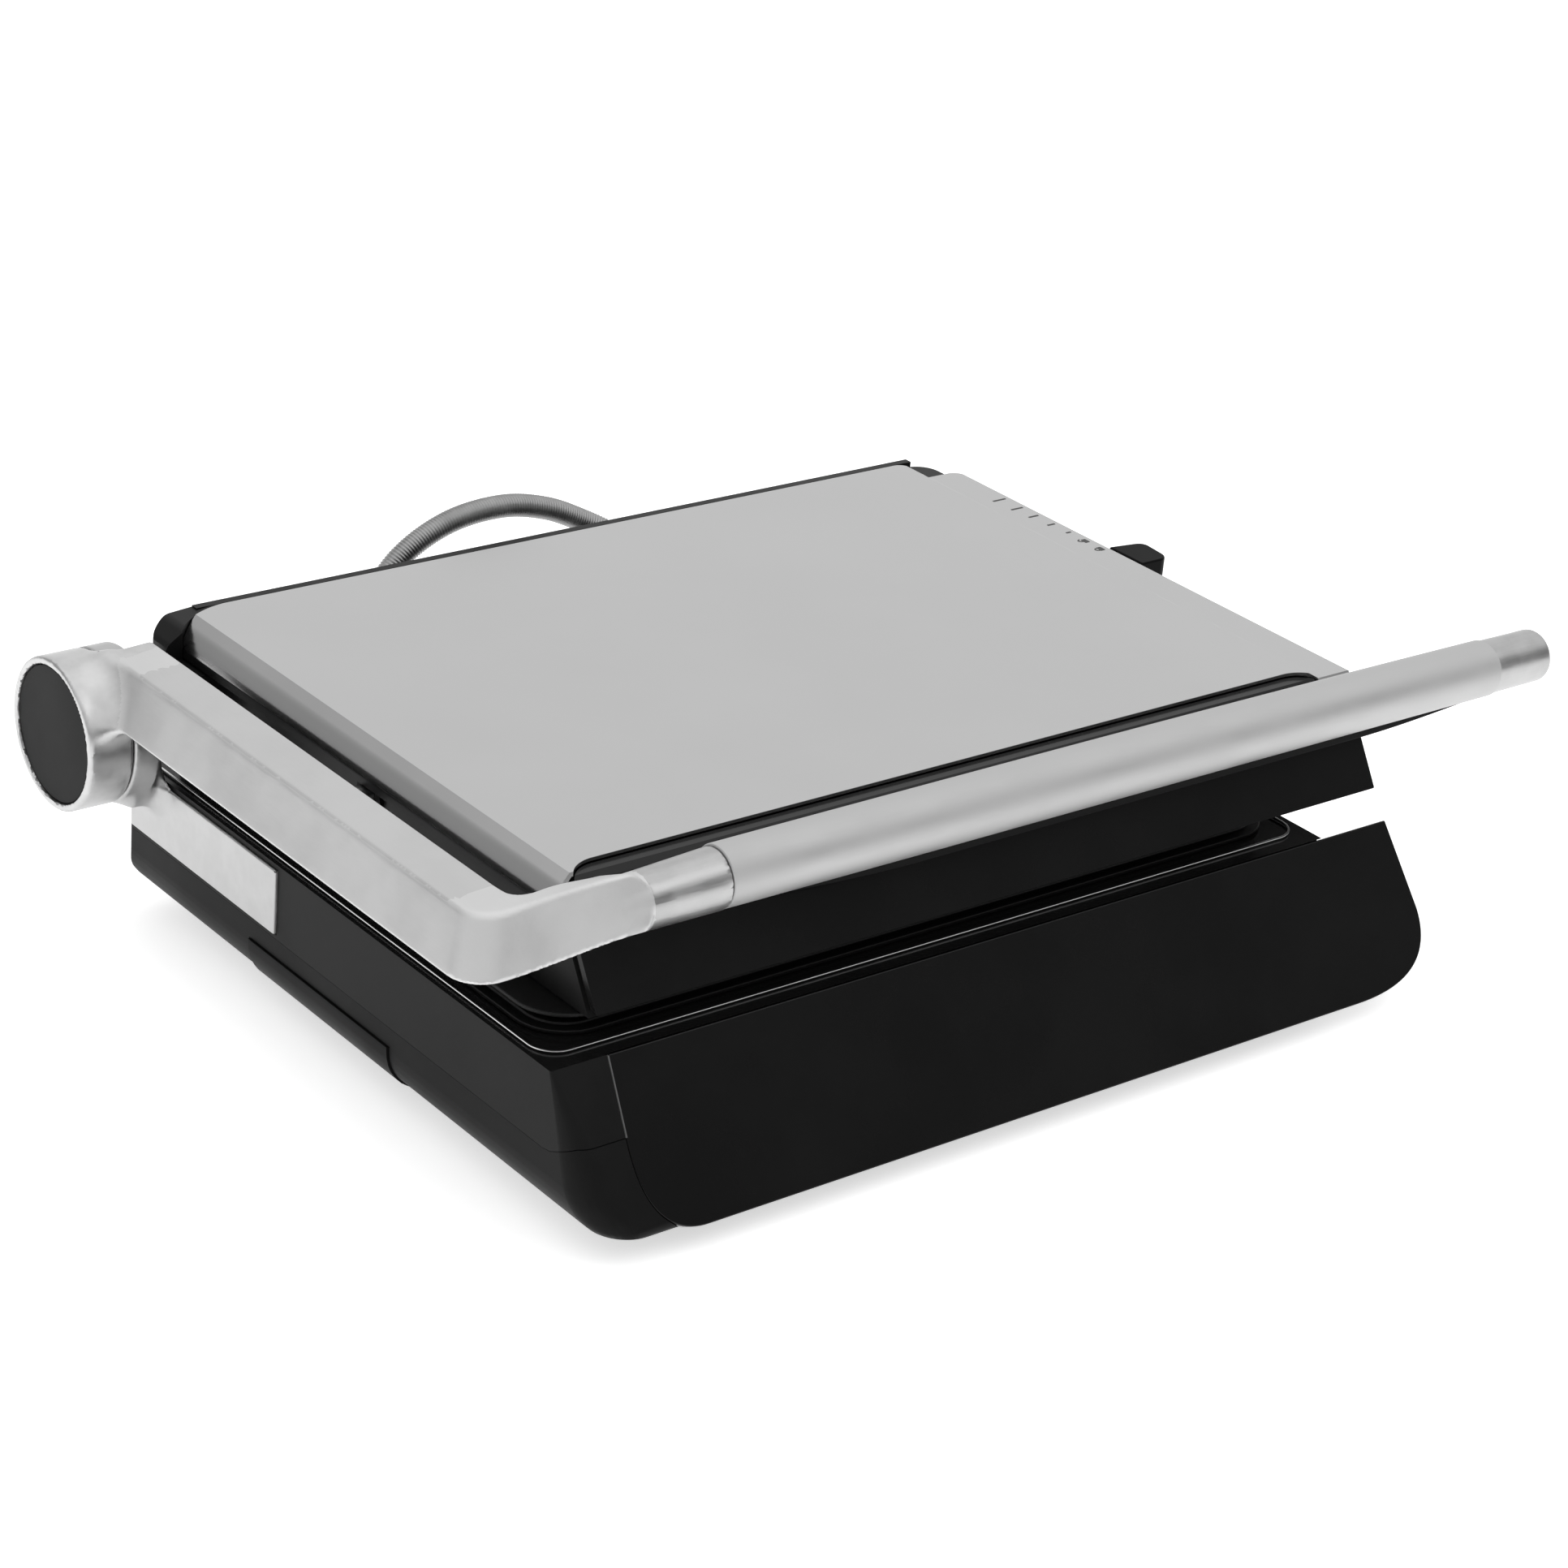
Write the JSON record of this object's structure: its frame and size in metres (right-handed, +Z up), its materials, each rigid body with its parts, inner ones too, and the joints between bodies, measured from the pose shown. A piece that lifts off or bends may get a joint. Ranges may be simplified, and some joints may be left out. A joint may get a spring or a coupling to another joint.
{
  "type": "panini press",
  "caption": "Contact grill with a flat steel lid on a one-armed swinging handle, ribbed upper and lower plates, sliding drip tray and lid height slider.",
  "frame": {"origin": "centre of the bounding box in X and Y, on the surface that the feet stand on", "axes": "+X along the grip, away from the hinge drum; +Y to the back; +Z up"},
  "size_m": [0.4848, 0.3238, 0.1175],
  "materials": {
    "brushed_steel": "satin brushed stainless sheet",
    "cast_aluminium": "satin polished die-cast aluminium",
    "black_plastic": "fine-textured black heat-resistant plastic",
    "gloss_black": "smooth gloss black panel",
    "satin_black": "satin black plastic",
    "coated_iron": "dark non-stick coating on cast metal",
    "bright_trim": "bright trim line",
    "sheet_steel": "zinc-plated steel",
    "heater_steel": "oxidised steel sheath of a heating element",
    "conduit_steel": "spirally wound steel conduit",
    "circuit_board": "green circuit board",
    "rubber": "black rubber"
  },
  "bodies": {
    "base": {"base_housing": "black_plastic", "bottom_cover": "black_plastic", "front_fascia": "gloss_black", "deck_trim_ring": "bright_trim", "lower_plate": "coated_iron", "lower_heater": "heater_steel", "lower_reflector": "sheet_steel", "tray_guide": "sheet_steel", "touch_control_board": "circuit_board", "power_board": "circuit_board", "power_relay": "black_plastic", "lower_thermostat": "sheet_steel", "foot_front_left": "rubber", "foot_front_right": "rubber", "foot_rear_left": "rubber", "foot_rear_right": "rubber", "cord_gland": "black_plastic", "hinge_bracket": "cast_aluminium", "hinge_backing_plate": "sheet_steel", "bracket_screw_1": "sheet_steel", "bracket_screw_2": "sheet_steel", "bracket_screw_3": "sheet_steel", "hinge_shaft": "sheet_steel", "flexible_conduit": "conduit_steel", "conduit_ferrule_base": "sheet_steel"},
    "handle": {"handle_arm": "cast_aluminium", "hinge_bush": "black_plastic", "hinge_washer": "sheet_steel", "hinge_cap": "satin_black", "grip_bar": "cast_aluminium", "grip_insert": "rubber", "lid_pivot_pin": "sheet_steel"},
    "lid": {"top_cover": "brushed_steel", "lid_housing": "black_plastic", "lid_front_panel": "gloss_black", "upper_plate": "coated_iron", "upper_heater": "heater_steel", "upper_reflector": "sheet_steel", "upper_thermostat": "sheet_steel", "lid_pivot_bush": "black_plastic", "lid_pivot_clip": "sheet_steel", "conduit_grommet_lid": "rubber"},
    "height_slider": {"height_slider_knob": "satin_black", "height_slider_carriage": "sheet_steel"},
    "tray": {"drip_tray": "black_plastic"}
  },
  "joints": [
    {"name": "handle_hinge", "type": "hinge", "parent": "base", "child": "handle", "pos_m": [-0.2253, 0.12241, 0.0778], "axis": [-1, 0, 0], "range_deg": [0, 100], "deforming": ["flexible_conduit"]},
    {"name": "lid_float", "type": "hinge", "parent": "handle", "child": "lid", "pos_m": [-0.2066, 0.00541, 0.0929], "axis": [-1, 0, 0], "range_deg": [-1.4, 1.4]},
    {"name": "height_slide", "type": "slide", "parent": "lid", "child": "height_slider", "axis": [0, 1, 0], "range_m": [0, 0.075]},
    {"name": "tray_slide", "type": "slide", "parent": "base", "child": "tray", "axis": [-1, 0, 0], "range_m": [0, 0.12]}
  ]
}
